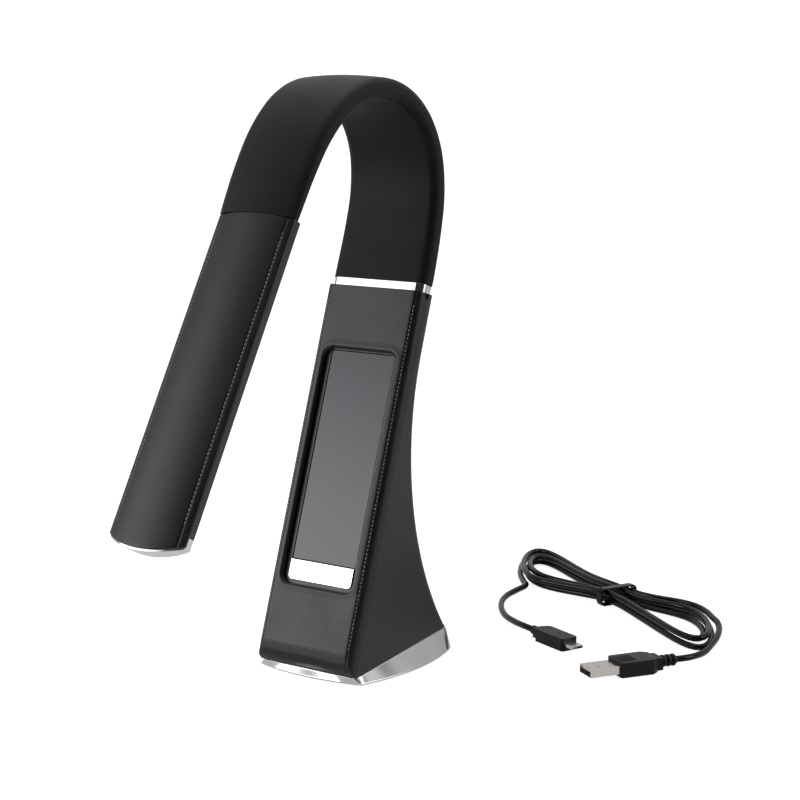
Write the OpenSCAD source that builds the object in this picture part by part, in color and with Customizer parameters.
// Folding LED desk lamp: a wedge-shaped clock tower on a chrome foot, a flat bending
// neck with a hinged chain inside its sleeve, and a slim light head. Its USB lead lies
// beside it in a tied hank.
//
// Frame: +X to the lamp's left-right width, +Y to its back, +Z up. The origin is the
// centre of the foot on the table. All sizes are in millimetres, angles in degrees.

/* [Tower] */
// Width of the tower
tower_w = 61; // [58:0.5:64]
// Depth of the tower over its straight upper part
tower_d = 14; // [13.5:0.5:16]
// Length of the tower's front face, up its slope
panel_h = 190.5; // [186:0.5:200]
// Lean of the front face, back from upright
lean = 18.66; // [16:0.02:21]
// Radius of the hollow back
back_r = 165; // [155:1:175]
// How far up the front face the hollow back begins
back_start = 160; // [157:1:163]
// Radius of the tower's upright corners
corner_r = 5; // [4:0.5:5.5]
// Radius of the roll at the foot of the front face
roll_r = 9; // [8.8:0.1:10]
// Depth of the side returns of the front cover
return_d = 7.5; // [7:0.1:8]
// Thickness of the leather skin
leather_t = 1.2; // [0.8:0.1:1.5]
// Thickness of the plastic front bezel
bezel_t = 1.8; // [1.5:0.1:2]
// Wall of the rear shell
shell_t = 2; // [1.6:0.1:2.2]

/* [Display] */
// Width of the window in the front cover
window_w = 46; // [44:0.5:47]
// Lower edge of the window, up the front face
window_low = 32.5; // [30:0.5:34]
// Upper edge of the window, up the front face
window_top = 157; // [155:0.5:158]
// Corner radius of the window
window_r = 5; // [3:0.5:6]
// Width of the display glass
glass_w = 40.4; // [38:0.2:41]
// Thickness of the display glass
glass_t = 1.2; // [0.8:0.1:1.3]
// Height of the chrome touch plate under the glass
touch_h = 10.5; // [9:0.5:11]
// Thickness of the touch plate
touch_t = 0.8; // [0.6:0.1:1]

/* [Foot] */
// Height of the foot at its front edge
foot_front_h = 4.5; // [4.2:0.1:5]
// Slope of the foot's top
foot_slope = 6; // [5:0.1:6.5]
// Half the width of the foot at its middle
foot_half_w = 39.6; // [38.5:0.1:41]
// Front of the foot at its middle, ahead of the origin
foot_front = 43.7; // [43:0.1:44.5]
// Back of the foot at its middle, behind the origin
foot_back = 46; // [45:0.1:47]
// Radius of the foot's bowed front and back edges
foot_bow_r = 116; // [110:1:125]
// Radius of the foot's bowed sides
foot_side_r = 117.8; // [112:0.2:124]
// Thickness of the rubber pad
pad_t = 1.2; // [1:0.1:1.5]
// Thickness of the steel base plate
plate_t = 1.8; // [1.5:0.1:2]
// Height of the counterweight
weight_h = 11; // [9:0.5:12]

/* [Neck] */
// Bend at each hinge of the neck, first at the tower
bends = [5.6, 20.2, 31, 33, 28.3, 27, 17.1, 6.5];
// Distance between hinges
pitch = 25; // [24.5:0.1:25.5]
// Height of the chrome collar under the neck
collar_h = 4.5; // [4:0.1:5]
// Distance from the collar to the first hinge
root_len = 25; // [24:0.1:26]
// Width of the sleeve at the tower
neck_w0 = 59.8; // [58:0.1:61]
// Width of the sleeve at the head
neck_w1 = 46.5; // [45:0.5:48]
// Thickness of the sleeve at the tower
neck_t0 = 11.5; // [11:0.1:12]
// Thickness of the sleeve at the head
neck_t1 = 10.5; // [9.8:0.1:11]
// How fast the sleeve narrows above the tower
neck_taper = 1.85; // [1:0.05:2.4]
// Wall of the sleeve
sleeve_t = 1.4; // [1.1:0.1:1.5]
// Thickness of the links
link_t = 4.8; // [4.4:0.1:5]
// Width of the links
link_w = 34; // [32:0.5:35]
// Width of the tongue of each hinge
tongue_w = 16; // [14:0.5:18]
// Radius of the hinge pins
pin_r = 1.2; // [1:0.05:1.4]
// Radial running clearance of the pins
pin_clear = 0.05; // [0.03:0.01:0.08]

/* [Head] */
// Length of the head
head_len = 171; // [160:1:180]
// Width of the head
head_w = 46.6; // [46:0.1:49]
// Thickness of the head along its edges
head_edge = 5; // [4.8:0.1:5.4]
// Rise of the head's rounded outer face
head_crown = 5.5; // [5:0.1:6]
// Sagitta of the rounded end of the head
tongue_sag = 5.5; // [4:0.5:7]
// Wall of the head's plastic frame
frame_t = 1.8; // [1.5:0.1:2]
// Number of LEDs along the head
led_n = 14; // [10:1:18]

/* [Keys] */
// Width of a clock key
key_w = 9; // [8:0.2:9.4]
// Height of a clock key
key_h = 5; // [4.4:0.1:5.4]
// Distance between the clock keys
key_gap = 14; // [13.5:0.1:14.5]
// Travel of a clock key
key_travel = 0.6; // [0.4:0.05:0.8]

/* [USB lead] */
// Diameter of the lead
lead_d = 3.5; // [3.2:0.1:3.7]
// Width of the metal shell of the large plug
plug_w = 12; // [12:0.1:12.2]
// Thickness of the metal shell of the large plug
plug_t = 4.5; // [4.4:0.1:4.6]

/* [Hidden] */
$fn = 64;
eps = 0.01;

hinges = len(bends);
LINKS = [for (i = [1:hinges - 1]) str("link_", i)];
PINS = [for (i = [1:hinges]) str("pin_", i)];

leather_c = [0.20, 0.19, 0.19];
black = [0.10, 0.10, 0.11];
silicone_c = [0.13, 0.13, 0.14];
chrome_c = [0.85, 0.86, 0.88];
steel_c = [0.62, 0.63, 0.65];
board_c = [0.10, 0.35, 0.18];

// ---------- Tower frame ----------
// In the tower's own frame X runs across, Y is depth behind the front face and Z runs
// up the face. Its origin is where the face's straight part begins.
face_y = -44.8;
face_z = 15.1;
bezel_in = leather_t + bezel_t;
back_y = tower_d + back_r;
running = 0.25;

function world_y(s, n) = face_y + s * sin(lean) + n * cos(lean);
function world_z(s, n) = face_z + s * cos(lean) - n * sin(lean);

module on_face() {
  translate([0, face_y, face_z]) rotate([-lean, 0, 0]) children();
}

// A flat shape drawn across the face and up it, as a plate from depth n0 to n1
module plate(n0, n1) {
  translate([0, n1, 0]) rotate([90, 0, 0]) linear_extrude(n1 - n0) children();
}

module rounded(w, h, r) {
  translate([-w / 2 + r, 0]) square([w - 2 * r, h]);
  translate([-w / 2, r]) square([w, h - 2 * r]);
  for (x = [-1, 1], y = [r, h - r]) translate([x * (w / 2 - r), y]) circle(r);
}

// Front of a wrapped panel, with both front corners round
module wrapped(w, d, r) {
  intersection() {
    translate([-w / 2, 0]) square([w, d]);
    union() {
      translate([-w / 2, r]) square([w, d]);
      translate([-w / 2 + r, 0]) square([w - 2 * r, d]);
      for (x = [-1, 1]) translate([x * (w / 2 - r), r]) circle(r);
    }
  }
}

// Everything above the sloping top of the foot
module above_foot() {
  intersection() {
    children();
    translate([0, foot_ledge - foot_front, foot_front_h]) rotate([foot_slope, 0, 0])
      translate([-100, -100, 0]) cube([200, 300, 400]);
  }
}

// The front cover's outside, drawn in by t, from below the foot's top up to height h
module cover_form(t, h, d) {
  below = 3 * roll_r;
  difference() {
    translate([0, t, -below]) linear_extrude(below + h)
      wrapped(tower_w - 2 * t, d - t, corner_r - t);
    difference() {
      translate([-tower_w, -roll_r, -2 * below]) cube([2 * tower_w, 2 * roll_r, 2 * below]);
      translate([-tower_w - 1, roll_r, 0]) rotate([0, 90, 0])
        cylinder(r = roll_r - t, h = 2 * tower_w + 2);
    }
  }
}

// The rear shell's outside, drawn in by t, from depth d backwards, up to height h
module shell_form(t, h, d) {
  w = tower_w / 2 - t;
  r = corner_r - t;
  reach = 100;
  sweep = 62;
  depth = tower_d - t;
  // straight upper part
  translate([0, 0, back_start]) linear_extrude(h - back_start) intersection() {
    translate([-w, d]) square([2 * w, depth - d]);
    union() {
      translate([-w, 0]) square([2 * w, depth - r]);
      translate([-w + r, 0]) square([2 * (w - r), depth]);
      for (x = [-1, 1]) translate([x * (w - r), depth - r]) circle(r);
    }
  }
  // hollow back, turned about an axis across the lamp
  intersection() {
    translate([0, back_y, back_start]) rotate([0, 90, 0]) rotate([0, 0, -90])
      rotate_extrude(angle = sweep, $fn = 180) translate([back_r + t, 0]) {
        translate([0, -w + r]) square([reach, 2 * (w - r)]);
        translate([r, -w]) square([reach - r, 2 * w]);
        for (x = [-1, 1]) translate([r, x * (w - r)]) circle(r);
      }
    translate([-tower_w, d, -60]) cube([2 * tower_w, 200, 60 + back_start]);
  }
}

module window_cut(grow) {
  plate(-1, tower_d) translate([0, window_low - grow])
    rounded(window_w + 2 * grow, window_top - window_low + 2 * grow, window_r + grow);
}

// ---------- Neck chain ----------
// Headings are measured from upright towards the back. heading[0] is the tower's.
offset_out = 0.8;
root_n = tower_d / 2;
root_s = panel_h + collar_h;
function total(v, n) = n <= 0 ? 0 : v[n - 1] + total(v, n - 1);
heading = [for (i = [0:hinges]) lean - total(bends, i)];
function along(a) = [0, sin(a), cos(a)];
function outward(a) = [0, cos(a), -sin(a)];
first_hinge = [0, world_y(root_s + root_len, root_n), world_z(root_s + root_len, root_n)];
function hinge_at(i) = i == 0 ? first_hinge : hinge_at(i - 1) + pitch * along(heading[i]);
hinge = [for (i = [0:hinges - 1]) hinge_at(i)];

// Places children at hinge i, with Z along the body that starts there
module at_hinge(i) {
  translate(hinge[i]) rotate([-heading[i + 1], 0, 0]) children();
}

// A point of the neck's curve at the share f of the bend of hinge i, off to the outside
function bend_r(i) = pitch / 2 / tan(bends[i] / 2);
function arc_point(i, f, off) =
  let (start = hinge[i] - pitch / 2 * along(heading[i]),
       centre = start - bend_r(i) * outward(heading[i]))
  centre + (bend_r(i) + off) * outward(heading[i] - f * bends[i]);

// Every ring of the neck: [centre, heading, share of the neck's length]
neck_len = root_len + (hinges - 1) * pitch + pitch;
function steps(i) = max(2, round(bends[i] / 5));
function neck_rings(off, before, after) = concat(
  [[hinge[0] - (root_len + before) * along(lean) + off * outward(lean), lean, 0]],
  [for (i = [0:hinges - 1], k = [0:steps(i) - 1])
     let (f = k / steps(i))
     [arc_point(i, f, off), heading[i] - f * bends[i],
      (root_len - pitch / 2 + pitch * (i + f)) / neck_len]],
  [[arc_point(hinges - 1, 1, off), heading[hinges], 1 - pitch / 2 / neck_len]],
  [[hinge[hinges - 1] + (pitch + after) * along(heading[hinges])
      + off * outward(heading[hinges]), heading[hinges], 1]]);

// Cross-section of the sleeve at share u, drawn in by t
function sleeve_w(u) = neck_w1 + (neck_w0 - neck_w1) * pow(1 - u, neck_taper);
function sleeve_d(u) = neck_t0 + (neck_t1 - neck_t0) * u;
corner_steps = 4;
function sleeve_section(u, t) =
  let (w = sleeve_w(u) / 2 - t, d = sleeve_d(u) / 2 - t, r = 0.42 * sleeve_d(u) - 0.6 * t)
  [for (q = [0:3], k = [0:corner_steps])
     let (a = 90 * q + 90 * k / corner_steps,
          sx = q == 0 || q == 3 ? 1 : -1, sy = q < 2 ? 1 : -1)
     [sx * (w - r) + r * cos(a), sy * (d - r) + r * sin(a)]];

// A closed tube through rings of equal point counts
module skin(rings) {
  m = len(rings[0]);
  n = len(rings);
  polyhedron(
    points = [for (ring = rings, p = ring) p],
    faces = concat(
      [[for (j = [0:m - 1]) j]],
      [for (i = [0:n - 2], j = [0:m - 1])
         let (a = i * m + j, b = i * m + (j + 1) % m) [a, a + m, b + m]],
      [for (i = [0:n - 2], j = [0:m - 1])
         let (a = i * m + j, b = i * m + (j + 1) % m) [a, b + m, b]],
      [[for (j = [0:m - 1]) (n - 1) * m + m - 1 - j]]));
}

module sleeve_form(t, extra) {
  skin([for (g = neck_rings(offset_out, extra, extra))
    [for (p = sleeve_section(g[2], t)) g[0] + [p[0], 0, 0] + p[1] * outward(g[1])]]);
}

// ---------- Foot ----------
foot_lift = 0.6;
foot_ledge = 3;
foot_top_len = foot_front + foot_back - 5.5;
foot_mid = 1.5;
plate_inset = 4;
pad_inset = 6;
opening_w = 51;
opening_y = [-34, 34.5];
weight_gap = 0.4;
screw_at = [for (x = [-22, 22], y = [-8, 24]) [x, y]];
screw_r = 1.35;
screw_head_r = 2.9;
screw_head_h = 1.5;
weight_z = pad_t + plate_t;
weight_top = weight_z + weight_h;
boss_r = 3.4;
boss_h = 6;
boss_top = weight_top + boss_h;

module foot_outline(inset, fn = 240) {
  intersection() {
    translate([0, foot_bow_r - foot_front]) circle(foot_bow_r - inset, $fn = fn);
    translate([0, foot_back - foot_bow_r]) circle(foot_bow_r - inset, $fn = fn);
    translate([foot_half_w - foot_side_r, foot_mid]) circle(foot_side_r - inset, $fn = fn);
    translate([foot_side_r - foot_half_w, foot_mid]) circle(foot_side_r - inset, $fn = fn);
  }
}

module rubber_pad() {
  color(black) linear_extrude(pad_t) foot_outline(pad_inset);
}

module base_plate() {
  color(steel_c) difference() {
    translate([0, 0, pad_t]) linear_extrude(plate_t) foot_outline(plate_inset);
    for (p = screw_at) translate([p[0], p[1], pad_t]) {
      translate([0, 0, -1]) cylinder(r = screw_r + running, h = plate_t + 2);
      cylinder(r1 = screw_head_r + 0.1, r2 = screw_r + 0.1, h = screw_head_h + 0.1);
    }
  }
}

// Where the tower stands: the sloping rim of the foot
module foot_top() {
  rim = 0.4;
  translate([0, foot_ledge - foot_front, foot_front_h]) rotate([foot_slope, 0, 0])
    translate([0, -2 * rim, -rim]) linear_extrude(rim)
      rounded(tower_w + 2 * rim, foot_top_len, corner_r, $fn = 32);
}

module foot_bezel() {
  color(chrome_c) difference() {
    hull() {
      translate([0, 0, foot_lift]) linear_extrude(1) foot_outline(0, 120);
      foot_top();
    }
    translate([0, 0, -1]) linear_extrude(weight_z + 1) foot_outline(plate_inset - running);
    translate([-opening_w / 2, opening_y[0], -1])
      cube([opening_w, opening_y[1] - opening_y[0], 40]);
  }
}

module base_screws() {
  color(steel_c) for (p = screw_at) translate([p[0], p[1], pad_t]) {
    cylinder(r1 = screw_head_r, r2 = screw_r, h = screw_head_h);
    cylinder(r = screw_r, h = weight_h + plate_t + boss_h - 1);
  }
}

module counterweight() {
  w = opening_w / 2 - weight_gap;
  color([0.35, 0.35, 0.36]) difference() {
    translate([0, opening_y[0] + weight_gap, weight_z]) linear_extrude(weight_h)
      rounded(2 * w, opening_y[1] - opening_y[0] - 2 * weight_gap, 3);
    for (p = screw_at) translate([p[0], p[1], 0]) cylinder(r = screw_r + running, h = 60);
  }
}

// ---------- Clock keys and the charging socket ----------
key_z = world_z(back_start, back_y);
skin_y = world_y(back_start, back_y) - back_r;
key_proud = 0.8;
key_lip = 1.3;
key_back = skin_y - shell_t - 0.2;
key_flange_t = 1;
switch_h = 2.7;
plunger_h = 0.6;
plunger_y = key_back - key_flange_t - key_travel - 0.1;
key_board_y = plunger_y - plunger_h - switch_h;
key_board_t = 1.2;
key_post_x = key_gap + key_w / 2 + key_lip + 3;
key_post_r = 1.8;

port_w = 12;
port_h = 7;
charge_t = 1.2;
charge_w = 50;
socket_w = 7.8;
socket_h = 2.7;
socket_z = boss_top + charge_t;
socket_front = 33.2;
charge_y = [17, 31.5];

module pill(w, h) {
  square([w - h, h], center = true);
  for (x = [-1, 1]) translate([x * (w - h) / 2, 0]) circle(h / 2);
}

// A shape drawn upright and pushed along Y from y0 to y1
module upright(y0, y1) {
  translate([0, y1, 0]) rotate([90, 0, 0]) linear_extrude(y1 - y0) children();
}

module rear_shell() {
  color(black) difference() {
    union() {
      above_foot() on_face() difference() {
        shell_form(0, panel_h, return_d);
        shell_form(shell_t, panel_h - shell_t, return_d - 1);
      }
      // bosses on the counterweight, braced to the side walls
      for (p = screw_at) translate([p[0], p[1], weight_top]) {
        cylinder(r = boss_r, h = boss_h);
        side = p[0] > 0 ? 0 : -(tower_w / 2 - shell_t / 2 + p[0]);
        translate([side, -1.5, 0]) cube([tower_w / 2 - shell_t / 2 - abs(p[0]), 3, boss_h]);
      }
      // posts that carry the key board
      for (x = [-1, 1]) translate([x * key_post_x, key_board_y, key_z]) rotate([-90, 0, 0])
        cylinder(r = key_post_r, h = skin_y - shell_t / 2 - key_board_y);
      // bosses behind the neck's bracket
      on_face() for (x = [-1, 1])
        translate([x * bracket_screw_x, root_n + link_t / 2, bracket_screw_s])
          rotate([-90, 0, 0])
            cylinder(r = 3, h = tower_d - shell_t / 2 - root_n - link_t / 2);
    }
    for (p = screw_at) translate([p[0], p[1], weight_top - 1])
      cylinder(r = screw_r, h = boss_h - 0.5 + 1);
    for (x = [-1, 0, 1]) translate([x * key_gap, 0, key_z])
      upright(skin_y - 10, skin_y + 10) pill(key_w + 2 * running, key_h + 2 * running);
    translate([0, 0, socket_z + socket_h / 2 - port_h / 2])
      upright(socket_front - 1, foot_back + 10) rounded(port_w, port_h, 1.5);
    on_face() {
      neck_slot(panel_h - 2 * shell_t, panel_h + 1);
      for (x = [-1, 1]) translate([x * bracket_screw_x, root_n, bracket_screw_s])
        rotate([-90, 0, 0]) cylinder(r = bracket_screw_r, h = bracket_screw_end);
    }
  }
}

module key(x) {
  color([0.16, 0.16, 0.17]) translate([x, 0, key_z]) {
    upright(key_back - eps, skin_y + key_proud) pill(key_w, key_h);
    upright(key_back - key_flange_t, key_back)
      pill(key_w + 2 * key_lip, key_h + 2 * key_lip);
  }
}

module key_board() {
  color(board_c) translate([0, 0, key_z]) {
    upright(key_board_y - key_board_t, key_board_y)
      translate([0, -key_h]) rounded(2 * key_post_x + 6, 2 * key_h, 1);
    for (x = [-1, 0, 1]) translate([x * key_gap, 0, 0]) {
      upright(key_board_y - eps, key_board_y + switch_h) square(6, center = true);
      upright(key_board_y + switch_h - eps, plunger_y) circle(1.7);
    }
  }
}

module charge_board() {
  color(board_c) translate([-charge_w / 2, charge_y[0], boss_top])
    cube([charge_w, charge_y[1] - charge_y[0], charge_t]);
}

// Small flat charging socket: a folded steel shell round a contact tongue
module usb_socket() {
  depth = 5.6;
  wall = 0.3;
  mouth = socket_w - 2 * wall;
  color(steel_c) translate([0, socket_front - depth, socket_z]) {
    difference() {
      translate([-socket_w / 2, 0, 0]) cube([socket_w, depth, socket_h]);
      translate([-mouth / 2, 1, wall]) cube([mouth, depth, socket_h - 2 * wall]);
    }
    translate([-2.2, 1 - eps, 1.4]) cube([4.4, 3.5, 0.6]);
  }
}

// ---------- Front of the tower ----------
tray_t = 3;
tray_n = bezel_in + tray_t;
tray_w = window_w + 5;
glass_set = 0.3;
touch_s = window_low + 2;
glass_low = touch_s + touch_h + 0.4;
glass_top = window_top - 1;
lcd_w = glass_w - 6;
lcd_back = 2.1;
board_n = tray_n + lcd_back + 0.3;
board_t = 1.6;
board_w = tray_w - 2;
board_low = window_low - 2;
board_len = window_top - window_low + 3;
stake_at = [for (x = [-1, 1], s = [board_low + 6, board_low + board_len - 6])
  [x * (board_w / 2 - 2), s]];

module front_leather() {
  color(leather_c) above_foot() on_face() difference() {
    cover_form(0, panel_h, return_d);
    cover_form(leather_t, panel_h + 1, return_d + 1);
    window_cut(0);
  }
}

module neck_slot(s0, s1) {
  gap = 0.3;
  translate([-link_w / 2 - gap, root_n - link_t / 2 - gap, s0])
    cube([link_w + 2 * gap, link_t + 2 * gap, s1 - s0]);
  translate([lead_x, root_n, s0]) cylinder(r = wire_r + gap, h = s1 - s0, $fn = 24);
}

module front_bezel() {
  color(black) above_foot() on_face() difference() {
    cover_form(leather_t, panel_h, return_d);
    cover_form(bezel_in, panel_h - bezel_t, return_d + 1);
    window_cut(0);
    neck_slot(panel_h - 2 * bezel_t, panel_h + 1);
  }
}

module window_tray() {
  color(black) on_face() {
    difference() {
      plate(bezel_in, tray_n) translate([0, window_low - 3])
        rounded(tray_w, window_top - window_low + 6, 3);
      plate(bezel_in - 1, bezel_in + glass_set + glass_t)
        translate([0, glass_low - 0.2]) rounded(glass_w + 0.4, glass_top - glass_low + 0.4, 1);
      plate(bezel_in, tray_n + 1) translate([-lcd_w / 2, glass_low + 3])
        square([lcd_w, glass_top - glass_low - 6]);
    }
    for (p = stake_at) translate([p[0], tray_n - eps, p[1]]) rotate([-90, 0, 0]) {
      cylinder(r = 1.8, h = board_n - tray_n + eps);
      cylinder(r = 1, h = board_n - tray_n + board_t + 0.5);
    }
  }
}

module display_glass() {
  color([0.36, 0.36, 0.38]) on_face()
    plate(bezel_in + glass_set, bezel_in + glass_set + glass_t)
      translate([0, glass_low]) rounded(glass_w, glass_top - glass_low, 1);
}

module lcd_module() {
  color([0.25, 0.27, 0.26]) on_face() {
    plate(bezel_in + glass_set + glass_t + 0.1, tray_n + eps)
      translate([-lcd_w / 2 + 0.2, glass_low + 3.2])
        square([lcd_w - 0.4, glass_top - glass_low - 6.4]);
    plate(tray_n, tray_n + lcd_back) translate([-glass_w / 2, glass_low + 1])
      square([glass_w, glass_top - glass_low - 2]);
  }
}

module touch_plate() {
  r = 2.5;
  color(chrome_c) on_face() plate(bezel_in - touch_t, bezel_in) {
    translate([0, touch_s]) rounded(glass_w, touch_h, r);
    translate([-glass_w / 2, touch_s + touch_h - r]) square([glass_w, r]);
  }
}

module main_board() {
  n = board_n + board_t;
  color(board_c) on_face() {
    difference() {
      plate(board_n, n) translate([0, board_low]) rounded(board_w, board_len, 2);
      for (p = stake_at) translate([p[0], board_n - 1, p[1]]) rotate([-90, 0, 0])
        cylinder(r = 1.1, h = board_t + 2);
    }
    // controller, lamp driver and its coil
    plate(n - eps, n + 1.4) translate([-5, 114]) square(10);
    plate(n - eps, n + 1.2) translate([-4, 82]) square([6, 8]);
    translate([-14, n - eps, 86]) rotate([-90, 0, 0]) cylinder(r = 4, h = 3.5);
  }
}

module buzzer() {
  color(black) on_face() translate([13, board_n + board_t, 88]) rotate([-90, 0, 0])
    difference() {
      cylinder(r = 6, h = 5);
      translate([0, 0, 4]) cylinder(r = 1.2, h = 2);
    }
}

module battery() {
  size = [34, 50];
  thick = 9.5;
  color([0.30, 0.42, 0.60]) on_face() plate(board_n + board_t, board_n + board_t + thick)
    translate([0, board_low - 6]) rounded(size[0], size[1], 3);
}

// ---------- Neck ----------
knuckle = link_t / 2;
knuckle_gap = 0.4;
tongue_gap = 0.5;
ear_x = tongue_w / 2 + tongue_gap;
wire_r = 0.9;
lead_x = link_w / 2 + 1.4 + wire_r;
bracket_low = panel_h - 27;
bracket_screw_x = 10;
bracket_screw_s = panel_h - 18;
bracket_screw_r = 1.2;
bracket_screw_end = tower_d - shell_t + 0.8 - root_n;

// Bar of a link, from height z0 to z1
module bar(w, z0, z1) {
  translate([-w / 2, -link_t / 2, z0]) cube([w, link_t, z1 - z0]);
}

// Barrel across the lamp, from x0 to x1
module barrel(x0, x1, r) {
  translate([x0, 0, 0]) rotate([0, 90, 0]) cylinder(r = r, h = x1 - x0);
}

// Tongue of a hinge, with the body above it
module tongue_end() {
  difference() {
    union() {
      barrel(-tongue_w / 2, tongue_w / 2, knuckle);
      bar(tongue_w, 0, knuckle + knuckle_gap + eps);
    }
    barrel(-link_w, link_w, pin_r + pin_clear);
  }
}

// Pair of ears of a hinge, with the body below them
module ears_end() {
  difference() {
    for (x = [-1, 1]) scale([x, 1, 1]) {
      barrel(ear_x, link_w / 2, knuckle);
      translate([ear_x, -knuckle, -knuckle - knuckle_gap - eps])
        cube([link_w / 2 - ear_x, link_t, knuckle + knuckle_gap + eps]);
    }
    barrel(-link_w, link_w, pin_r);
  }
}

module link(i) {
  color(steel_c) at_hinge(i - 1) {
    tongue_end();
    translate([0, 0, pitch]) ears_end();
    difference() {
      bar(link_w, knuckle + knuckle_gap, pitch - knuckle - knuckle_gap);
      translate([0, knuckle + 1, pitch / 2]) rotate([90, 0, 0])
        linear_extrude(link_t + 2) pill(14, 8);
    }
  }
}

module pin(i) {
  color([0.75, 0.75, 0.77]) at_hinge(i - 1) barrel(-link_w / 2, link_w / 2, pin_r);
}

module neck_bracket() {
  color(steel_c) on_face() translate([0, root_n, 0]) {
    translate([0, 0, root_s + root_len]) ears_end();
    difference() {
      bar(link_w, bracket_low, root_s + root_len - knuckle - knuckle_gap);
      for (x = [-1, 1]) translate([x * bracket_screw_x, -knuckle - 1, bracket_screw_s])
        rotate([-90, 0, 0]) cylinder(r = bracket_screw_r + 0.2, h = link_t + 2);
    }
  }
}

module bracket_screws() {
  head_h = 1.4;
  color(steel_c) on_face() for (x = [-1, 1])
    translate([x * bracket_screw_x, root_n - knuckle, bracket_screw_s]) rotate([-90, 0, 0]) {
      translate([0, 0, -head_h]) {
        cylinder(r = 2.3, h = head_h);
        cylinder(r = bracket_screw_r, h = head_h + bracket_screw_end + knuckle - 0.4);
      }
    }
}

module collar() {
  w = neck_w0 - 1.5;
  color(chrome_c) on_face() difference() {
    translate([0, root_n + offset_out - neck_t0 / 2, panel_h]) linear_extrude(collar_h)
      rounded(w, neck_t0, corner_r - 0.4);
    neck_slot(panel_h - 1, panel_h + collar_h + 1);
  }
}

module neck_sleeve() {
  color(silicone_c) difference() {
    sleeve_form(0, 0);
    sleeve_form(sleeve_t, 1);
  }
}

module neck_lead() {
  color(black) skin([for (g = neck_rings(0, collar_h + 6, head_plug))
    [for (k = [0:7]) g[0] + [lead_x + wire_r * cos(45 * k), 0, 0]
       + wire_r * sin(45 * k) * outward(g[1])]]);
}

// ---------- Head ----------
// In the head's own frame Y is outward, Z runs down the head from the neck's end and
// Y = 0 is the level of the neck's chain.
head_gap = 0.4;
head_top = offset_out + neck_t1 / 2 + 0.5;
crown_r = (pow(head_w / 2, 2) + pow(head_crown, 2)) / (2 * head_crown);
head_low = head_top - head_crown - head_edge;
tongue_r = (pow(head_w / 2, 2) + pow(tongue_sag, 2)) / (2 * tongue_sag);
leather_edge = head_top - head_crown - 1;
frame_w = head_w - 0.6;
frame_len = head_len - 11;
head_plug = 21;
cavity_w = 39;
diffuser_w = 42;
diffuser_h = 1.2;
diffuser_z = [24, head_len - 15];
shoulder = head_low + 0.2 + diffuser_h;
led_board_y = -0.4;
led_board_h = 1;
anchor_w = 26;
head_screw_at = [[-8, 10], [8, 10]];
peg_x = 12;

module at_head() {
  at_hinge(hinges - 1) translate([0, 0, pitch]) children();
}

// Rounds off everything past the head's curved end at z
module round_end(z) {
  difference() {
    children();
    difference() {
      translate([-head_w, -20, z - tongue_sag - 1]) cube([2 * head_w, 40, 40]);
      translate([0, 21, z - tongue_r]) rotate([90, 0, 0]) cylinder(r = tongue_r, h = 42,
        $fn = 180);
    }
  }
}

module crown(inset) {
  translate([0, head_top - crown_r]) circle(crown_r - inset, $fn = 180);
}

// Head's section under the leather
module frame_section() {
  intersection() {
    crown(leather_t);
    translate([-head_w / 2, leather_edge]) square([head_w, 20]);
  }
  translate([-frame_w / 2, head_low]) square([frame_w, leather_edge - head_low]);
}

module head_leather() {
  color(leather_c) at_head() round_end(head_len - 1)
    translate([0, 0, head_gap]) linear_extrude(head_len) intersection() {
      difference() {
        crown(0);
        crown(leather_t);
      }
      translate([-head_w / 2, leather_edge]) square([head_w, 20]);
    }
}

module head_frame() {
  inner_z = head_plug + 1;
  color([0.22, 0.22, 0.23]) at_head() {
    difference() {
      translate([0, 0, head_gap]) linear_extrude(frame_len - head_gap) frame_section();
      // light box
      translate([0, 0, inner_z]) linear_extrude(frame_len - 2 - inner_z) intersection() {
        crown(leather_t + frame_t);
        translate([-cavity_w / 2, shoulder - eps]) square([cavity_w, 20]);
      }
      translate([-diffuser_w / 2 - 0.1, head_low - 1, diffuser_z[0] - 0.1])
        cube([diffuser_w + 0.2, shoulder - head_low + 1, diffuser_z[1] - diffuser_z[0] + 0.2]);
      // socket of the neck's anchor, its screws and the lead
      translate([-anchor_w / 2 - 0.1, -knuckle - 0.1, -1])
        cube([anchor_w + 0.2, link_t + 0.2, head_plug - 2]);
      for (p = head_screw_at) translate([p[0], head_low - 1, p[1]]) rotate([-90, 0, 0]) {
        cylinder(r = 2.4, h = 2.2);
        cylinder(r = 1.2, h = 4);
      }
      translate([lead_x, 0, -1]) cylinder(r = wire_r + 0.3, h = inner_z + 2, $fn = 24);
      for (x = [-1, 1]) translate([x * peg_x, -1, frame_len - 3]) cylinder(r = 1.5, h = 4);
    }
    // ribs that carry the LED board
    for (x = [-1, 1]) translate([0, 0, inner_z - 1])
      linear_extrude(frame_len - inner_z) intersection() {
        crown(leather_t + frame_t / 2);
        translate([x * 10 - 0.75, led_board_y]) square([1.5, 20]);
      }
  }
}

module head_anchor() {
  color(steel_c) at_hinge(hinges - 1) difference() {
    union() {
      tongue_end();
      bar(link_w, knuckle + knuckle_gap, pitch - 1);
      bar(anchor_w, pitch - 1 - eps, pitch + head_plug - 3.2);
    }
    for (p = head_screw_at) translate([p[0], -knuckle - 1, pitch + p[1]])
      rotate([-90, 0, 0]) cylinder(r = 1, h = link_t + 0.4);
  }
}

module head_screws() {
  color(steel_c) at_head() for (p = head_screw_at)
    translate([p[0], head_low + 0.15, p[1]]) rotate([-90, 0, 0]) {
      cylinder(r = 2.1, h = 1.05);
      cylinder(r = 1, h = -head_low + knuckle - 1);
    }
}

module led_board() {
  color([0.92, 0.93, 0.93]) at_head()
    translate([-anchor_w / 2, led_board_y - led_board_h, diffuser_z[0] + 2])
      cube([anchor_w, led_board_h, diffuser_z[1] - diffuser_z[0] - 4]);
}

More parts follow.
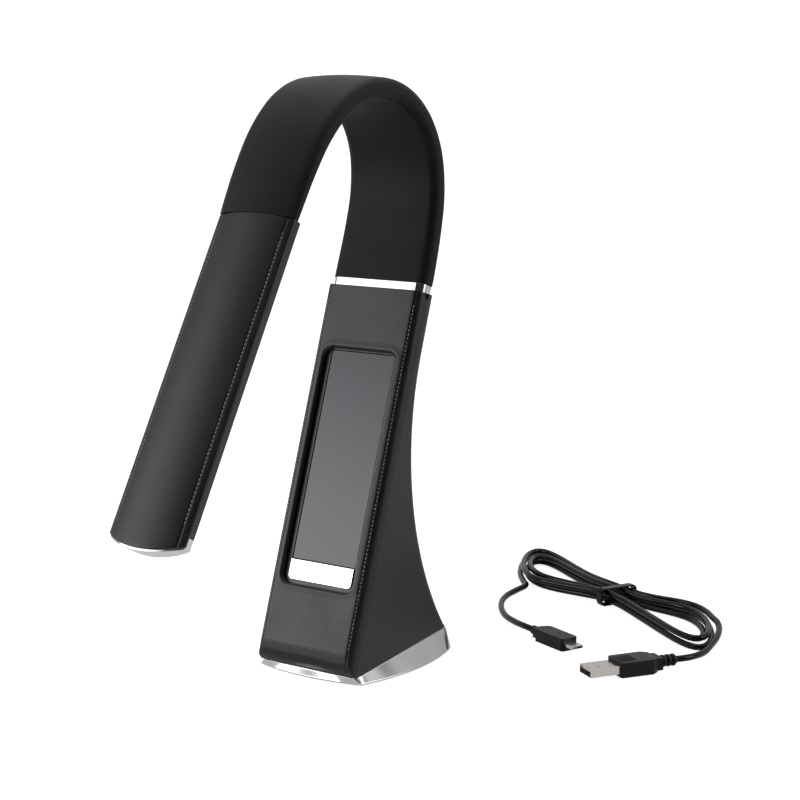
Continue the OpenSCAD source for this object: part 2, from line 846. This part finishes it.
module leds() {
  size = [3.5, 0.7, 2.8];
  span = (diffuser_z[1] - diffuser_z[0] - 12) / (led_n - 1);
  color([0.98, 0.92, 0.62]) at_head() for (x = [-6, 6], k = [0:led_n - 1])
    translate([x - size[0] / 2, led_board_y - led_board_h - size[1],
               diffuser_z[0] + 6 + k * span - size[2] / 2]) cube(size);
}

module diffuser() {
  color([0.95, 0.95, 0.93]) at_head()
    translate([-diffuser_w / 2, shoulder - diffuser_h, diffuser_z[0]])
      cube([diffuser_w, diffuser_h, diffuser_z[1] - diffuser_z[0]]);
}

module end_cap() {
  color(chrome_c) at_head() {
    round_end(head_len) translate([0, 0, frame_len])
      linear_extrude(head_len - frame_len + 1) frame_section();
    for (x = [-1, 1]) translate([x * peg_x, -1, frame_len - 1.8])
      cylinder(r = 1.5, h = 2);
  }
}

// ---------- USB lead ----------
// The hank lies behind the lamp's right side, its long axis turned from the X axis.
hank_at = [56, 175];
hank_turn = -24.6;
hank_half = 95.5;
hank_bulge = 19;
hank_shear = -1.15;
hank_from = 205;
hank_to = 20 - 3 * 360;
loop_rings = 24;
end_step = 7;
bulge_step = 5;
waist_out = 9.1;
waist_step = 4.05;
layer_step = lead_d + 0.45;
waist_lift = 1.5;
loops_deep = (hank_from - hank_to) / 720;

function ease(t) = t <= 0 ? 0 : t >= 1 ? 1 : t * t * (3 - 2 * t);
function hank_local(a) =
  let (f = (hank_from - a) / (hank_from - hank_to),
       deep = loops_deep * (1 - abs(1 - 2 * f)),
       climb = ease((f - 0.5) / (180 / (hank_from - hank_to)) + 0.5),
       x = (hank_half - end_step * deep) * cos(a),
       y = (waist_out - waist_step * deep
            + 2.6 * (hank_bulge - bulge_step * deep) * pow(cos(a), 2)) * sin(a))
  [x, y, lead_d / 2 + waist_lift * exp(-pow(x / 22, 2)) + layer_step * climb];
function turned(p) = let (x = p[0] + hank_shear * p[1])
  [hank_at[0] + x * cos(hank_turn) - p[1] * sin(hank_turn),
   hank_at[1] + x * sin(hank_turn) + p[1] * cos(hank_turn), p[2]];
hank_n = ceil((hank_from - hank_to) / 360 * loop_rings);
wound = [for (k = [0:hank_n])
  turned(hank_local(hank_from - k * (hank_from - hank_to) / hank_n))];
function unit(v) = v / norm(v);
hank_in = unit(wound[0] - wound[1]);
hank_out = unit(wound[hank_n] - wound[hank_n - 1]);
function flat(v) = unit([v[0], v[1], 0]);
hank_start = wound[0] + lead_d * flat(hank_in);
hank_end = wound[hank_n] + lead_d * flat(hank_out);
hank_path = concat([hank_start], wound, [hank_end]);

// Rings of a round tube along points, square to the path at each
function heading_at(p, i) =
  i == 0 ? unit(p[1] - p[0]) :
  i == len(p) - 1 ? unit(p[i] - p[i - 1]) : unit(unit(p[i] - p[i - 1]) + unit(p[i + 1] - p[i]));
function tube_rings(p, r, sides) = [for (i = [0:len(p) - 1])
  let (t = heading_at(p, i), side = unit(cross([0, 0, 1], t)), up = cross(t, side))
  [for (k = [0:sides - 1]) p[i] + r * cos(360 * k / sides) * side
     + r * sin(360 * k / sides) * up]];

// Least gap between two stretches of the hank that are a few rings or more apart
function hank_gaps() = [for (i = [0:hank_n - 6], j = [i + 6:hank_n])
  norm(wound[i] - wound[j]) - lead_d];
echo(hank_least_gap = min(hank_gaps()));
function path_len(p) = total([for (i = [1:len(p) - 1]) norm(p[i] - p[i - 1])], len(p) - 1);

large_at = [145, 84];
large_turn = -122;
large_z = 4;
small_at = [55, 89.5];
small_turn = -22.5;
small_z = 3.5;
floor_z = lead_d / 2;

// Routes of the two free ends, chosen by hand, from the hank to each plug
small_route = [
  hank_start,
  hank_start + 8 * flat(hank_in),
  [-0.5, 160, floor_z], [1, 148, floor_z], [5.5, 135, floor_z],
  [14, 121, floor_z], [25, 108.5, 2], [37, 99, 2.8],
  [small_at[0] - 8 * cos(small_turn), small_at[1] - 8 * sin(small_turn), small_z],
  [small_at[0], small_at[1], small_z]];
large_route = [
  hank_end,
  hank_end + 8 * flat(hank_out),
  [139, 146.5, 4.8], [144, 134, 4], [147.5, 120, 3.3], [150, 106, 3],
  [large_at[0] - 8 * cos(large_turn), large_at[1] - 8 * sin(large_turn), large_z],
  [large_at[0], large_at[1], large_z]];
echo(lead_length = path_len(hank_path) + path_len(small_route) + path_len(large_route));

module lead_hank() {
  color(black) skin(tube_rings(hank_path, lead_d / 2, 6));
}

module lead_tail_small() {
  color(black) skin(tube_rings(small_route, lead_d / 2, 8));
}

module lead_tail_large() {
  color(black) skin(tube_rings(large_route, lead_d / 2, 8));
}

module hank_tie() {
  width = 5;
  shift = 3;
  inner = [23.2, 8.2];
  wall = 1.1;
  color(black) translate([hank_at[0], hank_at[1], 0]) rotate([0, 0, hank_turn])
    translate([shift - width / 2, 1, 0]) rotate([90, 0, 90]) linear_extrude(width) difference() {
      rounded(inner[0] + 2 * wall, inner[1] + 2 * wall, 3);
      translate([0, wall]) rounded(inner[0], inner[1], 2);
    }
}

// Places a plug with +X from its lead end to its tip
module plug_at(at, turn, z) {
  translate([at[0], at[1], z]) rotate([0, 0, turn]) children();
}

module block(x0, x1, w, h) {
  translate([x0, -w / 2, -h / 2]) cube([x1 - x0, w, h]);
}

module along_x(x0, x1, r) {
  translate([x0, 0, 0]) rotate([0, 90, 0]) cylinder(r = r, h = x1 - x0);
}

large_body = [17, 36];
large_len = 53;

module large_plug() {
  body_w = 16;
  body_h = 2 * large_z;
  neck_w = 10.5;
  color(black) plug_at(large_at, large_turn, large_z) {
    along_x(0, 11, 2.3);
    for (k = [0:2]) along_x(1 + 3 * k, 2.7 + 3 * k, 3.2);
    block(10, 15, neck_w, body_h - 1.4);
    translate([0, 0, -body_h / 2]) linear_extrude(body_h)
      polygon([[13.5, -neck_w / 2], [large_body[0], -body_w / 2],
               [large_body[1] - 1, -body_w / 2], [large_body[1], -body_w / 2 + 1],
               [large_body[1], body_w / 2 - 1], [large_body[1] - 1, body_w / 2],
               [large_body[0], body_w / 2], [13.5, neck_w / 2]]);
  }
}

// Metal shell of the large plug, with its contact tongue and its four windows
module large_plug_shell() {
  wall = 0.3;
  color(steel_c) plug_at(large_at, large_turn, large_z) {
    difference() {
      block(large_body[1], large_len, plug_w, plug_t);
      block(large_body[1] + 1, large_len + 1, plug_w - 2 * wall, plug_t - 2 * wall);
      for (y = [-1, 1]) translate([large_len - 6.8, y * 2.6, 0]) block(0, 2, 2, plug_t + 2);
    }
    translate([large_body[1] + 1 - eps, -plug_w / 2 + 0.6, 0.1])
      cube([large_len - large_body[1] - 2, plug_w - 1.2, 1.9]);
  }
}

small_body = [7, 33];
small_len = 40;

module small_plug() {
  body_w = 10.5;
  body_h = 2 * small_z;
  color(black) plug_at(small_at, small_turn, small_z) {
    along_x(0, 7, 2.5);
    block(4, 8, 7, 5.4);
    translate([0, 0, -body_h / 2]) linear_extrude(body_h)
      polygon([[small_body[0], -3.5], [small_body[0] + 2, -body_w / 2],
               [small_body[1] - 1, -body_w / 2], [small_body[1], -body_w / 2 + 1],
               [small_body[1], body_w / 2 - 1], [small_body[1] - 1, body_w / 2],
               [small_body[0] + 2, body_w / 2], [small_body[0], 3.5]]);
  }
}

module small_plug_shell() {
  wall = 0.25;
  mouth = [6.9, 1.9];
  color(steel_c) plug_at(small_at, small_turn, small_z) difference() {
    block(small_body[1], small_len, mouth[0], mouth[1]);
    block(small_body[1] + 1, small_len + 1, mouth[0] - 2 * wall, mouth[1] - 2 * wall);
  }
}

rubber_pad();
base_plate();
foot_bezel();
base_screws();
counterweight();
rear_shell();
front_bezel();
front_leather();
window_tray();
display_glass();
lcd_module();
touch_plate();
main_board();
buzzer();
battery();
charge_board();
usb_socket();
key_board();
key(-key_gap);  // key_set
key(0);  // key_up
key(key_gap);  // key_down
collar();
neck_bracket();
bracket_screws();
neck_sleeve();
neck_lead();
for (i = [1:hinges - 1]) link(i);
for (i = [1:hinges]) pin(i);
head_leather();
head_frame();
head_anchor();
head_screws();
led_board();
leds();
diffuser();
end_cap();
lead_hank();
lead_tail_small();
lead_tail_large();
hank_tie();
small_plug();
small_plug_shell();
large_plug();
large_plug_shell();
